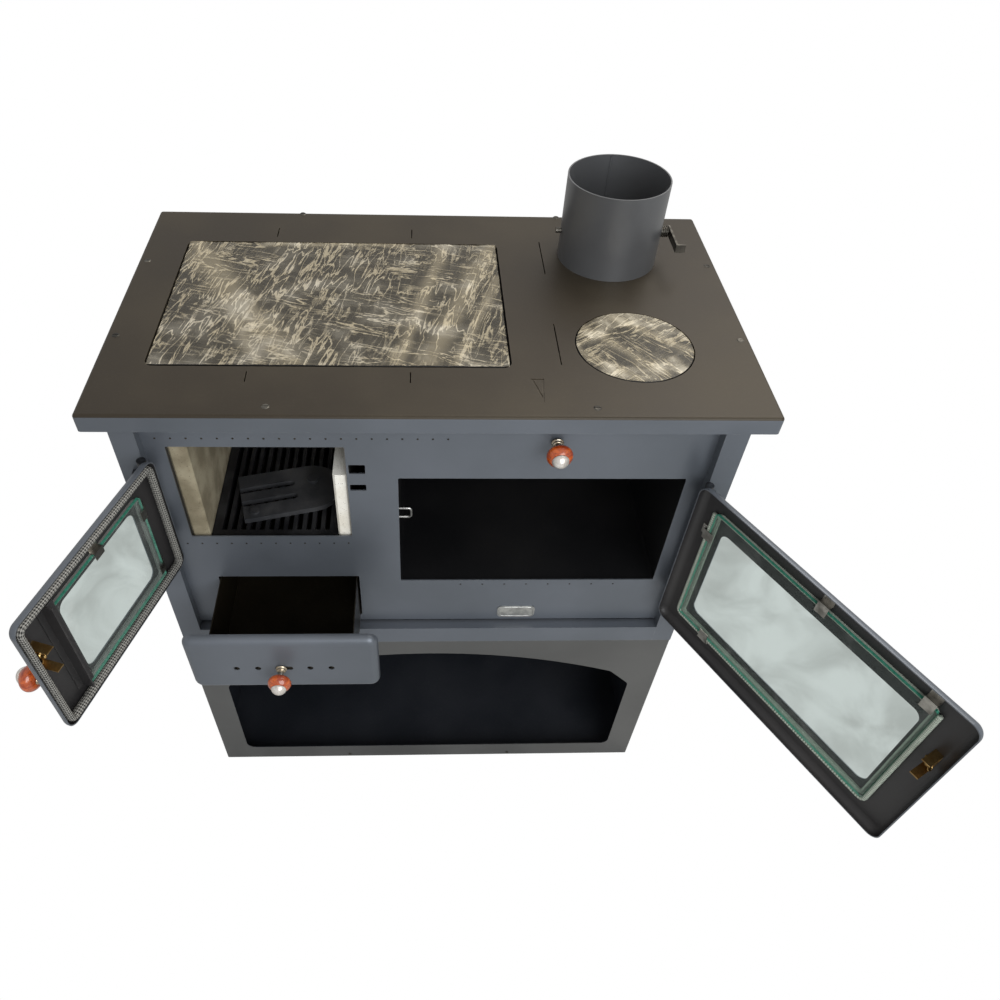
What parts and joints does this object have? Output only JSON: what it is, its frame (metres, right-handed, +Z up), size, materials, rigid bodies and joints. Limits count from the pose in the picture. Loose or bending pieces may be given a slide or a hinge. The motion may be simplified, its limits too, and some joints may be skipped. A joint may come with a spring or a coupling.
{
  "type": "wood cook stove",
  "caption": "Wood-burning cook stove with firebox, oven, ash drawer and open wood store under a flat hob with a flue collar.",
  "frame": {"origin": "centre of the body's footprint on the floor", "axes": "+X to the right seen from the front, +Y to the back, +Z up; the doors and the drawer face -Y"},
  "size_m": [1.078, 0.883, 1.002],
  "materials": {
    "base_enamel": "satin enamel, grey",
    "front_enamel": "satin enamel, blue grey",
    "rear_steel": "dull paint, dark grey",
    "top_coat": "matt heat-proof coat, brown black",
    "bright_screws": "bright zinc",
    "cast_plate": "ground and oiled",
    "cast_frame": "as cast",
    "flue_coat": "satin heat-proof coat, dark grey",
    "damper_steel": "plain steel",
    "fire_steel": "scaled sheet steel",
    "brick": "fired clay, matt",
    "brick_olive": "fired clay, smoked",
    "grate_iron": "as cast",
    "liner_black": "black enamel",
    "loop_wire": "bright wire",
    "badge_steel": "brushed, bare",
    "hinge_steel": "zinc",
    "door_enamel": "satin enamel outside, charcoal inside",
    "rope": "braided glass fibre, grey",
    "pale_rope": "braided glass fibre, pale",
    "door_glass": "heat-proof glass",
    "clip_steel": "zinc",
    "catch_brass": "dull",
    "knob_nickel": "nickel, worn",
    "knob_wood": "varnished, orange brown",
    "drawer_steel": "dark paint"
  },
  "bodies": {
    "stove": {"base_shell": "base_enamel", "base_rivets": "bright_screws", "deck_plate": "front_enamel", "left_side_panel": "front_enamel", "right_side_panel": "front_enamel", "rear_panel": "rear_steel", "front_plate": "front_enamel", "badge_plate": "badge_steel", "top_plate": "top_coat", "top_screws": "bright_screws", "hob_frame": "cast_frame", "lid_frame": "cast_frame", "flue_collar": "flue_coat", "firebox_case": "fire_steel", "brick_left": "brick_olive", "brick_right": "brick", "brick_back": "brick", "fire_grate": "grate_iron", "loose_grate_plate": "grate_iron", "ash_bay": "fire_steel", "oven_box": "liner_black", "oven_loop": "loop_wire", "body_hinge_halves": "hinge_steel", "hinge_pins": "hinge_steel"},
    "hob_plate": {"hob_plate": "cast_plate"},
    "round_lid": {"round_lid": "cast_plate"},
    "flue_damper": {"damper_spindle": "damper_steel", "damper_disc": "fire_steel", "damper_handle": "damper_steel", "damper_spring": "damper_steel"},
    "bypass": {"bypass_rod": "damper_steel", "bypass_flap": "fire_steel", "bypass_knob_metal": "knob_nickel", "bypass_knob_grip": "knob_wood"},
    "fire_door": {"fire_door_pan": "door_enamel", "fire_door_rope": "rope", "fire_glass": "door_glass", "fire_glass_rope": "rope", "fire_glass_clips": "clip_steel", "fire_deflector": "drawer_steel", "fire_catch": "catch_brass", "fire_catch_bolt": "clip_steel", "fire_knob_metal": "knob_nickel", "fire_knob_grip": "knob_wood", "fire_door_hinges": "hinge_steel"},
    "oven_door": {"oven_door_pan": "door_enamel", "oven_glass": "door_glass", "oven_glass_rope": "pale_rope", "oven_edge_rope": "pale_rope", "oven_glass_clips": "clip_steel", "oven_catch": "catch_brass", "oven_catch_bolt": "clip_steel", "oven_knob_metal": "knob_nickel", "oven_knob_grip": "knob_wood", "oven_door_hinges": "hinge_steel"},
    "ash_drawer": {"ash_box": "drawer_steel", "ash_front_pan": "front_enamel"},
    "air_shutter": {"air_shutter": "drawer_steel", "ash_knob_metal": "knob_nickel", "ash_knob_grip": "knob_wood"}
  },
  "joints": [
    {"name": "fire_door_hinge", "type": "hinge", "parent": "stove", "child": "fire_door", "pos_m": [-0.3675, -0.2525, 0.7185], "axis": [0, 0, 1], "range_deg": [-20, 107.6]},
    {"name": "oven_door_hinge", "type": "hinge", "parent": "stove", "child": "oven_door", "pos_m": [0.3675, -0.2525, 0.638], "axis": [0, 0, 1], "range_deg": [-119.5, 5]},
    {"name": "ash_drawer_slide", "type": "slide", "parent": "stove", "child": "ash_drawer", "axis": [0, -1, 0], "range_m": [-0.112, 0.14]},
    {"name": "air_shutter_slide", "type": "slide", "parent": "ash_drawer", "child": "air_shutter", "axis": [1, 0, 0], "range_m": [-0.005, 0.012]},
    {"name": "bypass_slide", "type": "slide", "parent": "stove", "child": "bypass", "axis": [0, -1, 0], "range_m": [0, 0.06]},
    {"name": "flue_damper_hinge", "type": "hinge", "parent": "stove", "child": "flue_damper", "pos_m": [0.2665, 0.1275, 0.921], "axis": [1, 0, 0], "range_deg": [-90, 0]},
    {"name": "hob_plate_lift", "type": "slide", "parent": "stove", "child": "hob_plate", "axis": [0, 0, 1], "range_m": [0, 0.12]},
    {"name": "round_lid_lift", "type": "slide", "parent": "stove", "child": "round_lid", "axis": [0, 0, 1], "range_m": [0, 0.1]}
  ]
}
